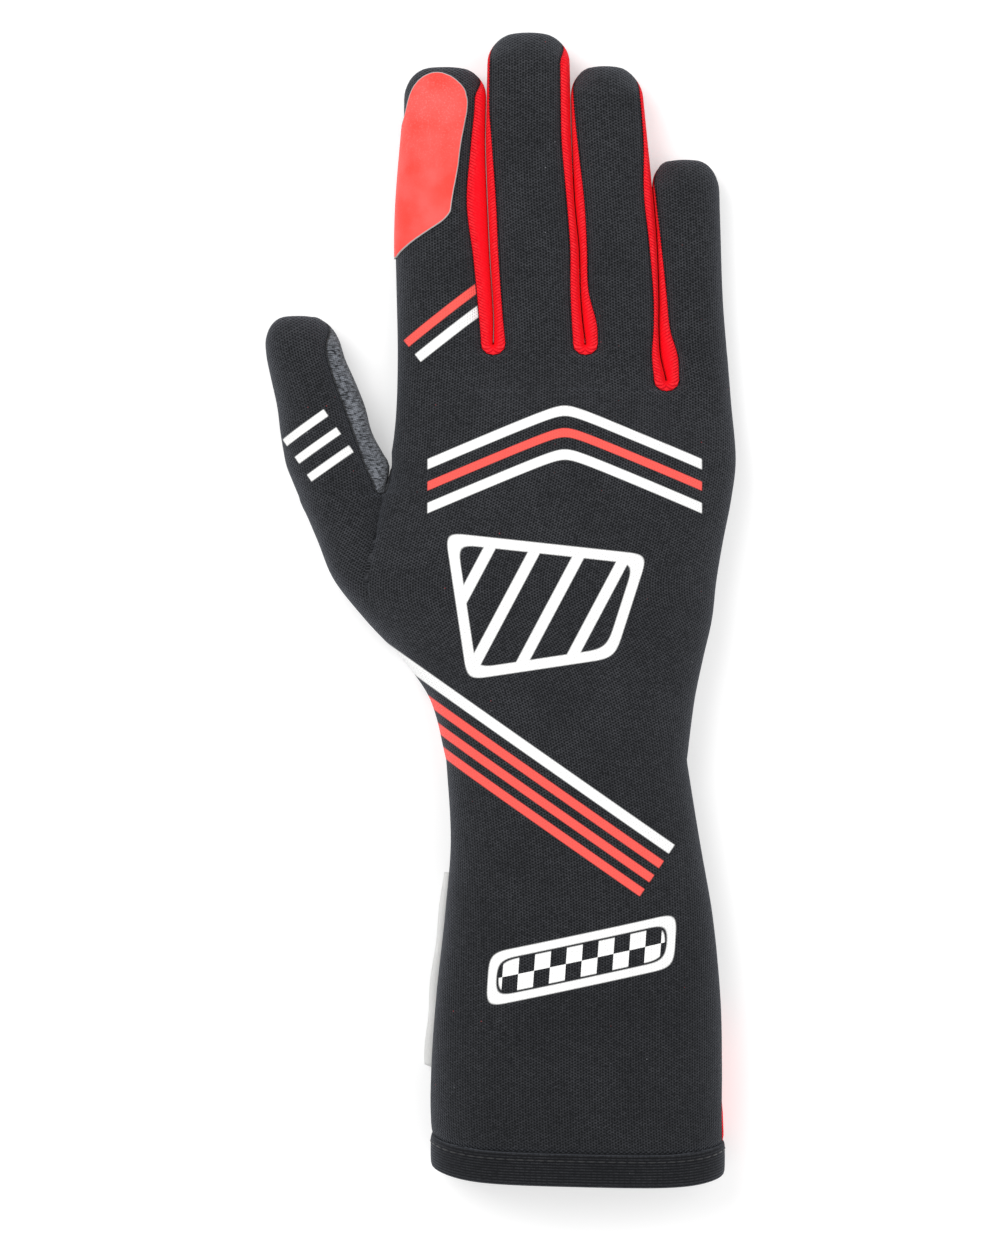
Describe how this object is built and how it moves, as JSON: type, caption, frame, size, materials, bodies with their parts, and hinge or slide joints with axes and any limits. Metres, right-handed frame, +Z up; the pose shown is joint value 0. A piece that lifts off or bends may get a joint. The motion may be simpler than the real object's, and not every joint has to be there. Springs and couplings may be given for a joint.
{
  "type": "racing glove",
  "caption": "Right-hand racing glove lying on its palm: black knitted back, suede palm, red strips between the fingers, long cuff with a folded hem.",
  "frame": {"origin": "middle of the bounding box in plan, on the surface that the palm lies on", "axes": "+Y from the open end towards the fingertips, +X from the thumb's side to the little finger's side, +Z up out of the back of the hand"},
  "size_m": [0.1284, 0.3154, 0.0314],
  "materials": {
    "black_knit": "matte fine knit with small lighter flecks",
    "grey_suede": "napped suede",
    "red_knit": "matte ribbed knit",
    "coral_film": "smooth matte film",
    "white_tape": "plain woven tape"
  },
  "bodies": {
    "root": {"back_panel": "black_knit", "palm_panel": "grey_suede", "cuff_palm": "black_knit", "thumb_gusset": "grey_suede", "fourchette_index_middle": "red_knit", "fourchette_middle_ring": "red_knit", "fourchette_ring_little": "red_knit", "cuff_gusset": "red_knit", "cuff_hem": "black_knit", "index_tip_patch": "coral_film", "side_label": "white_tape"}
  },
  "joints": []
}
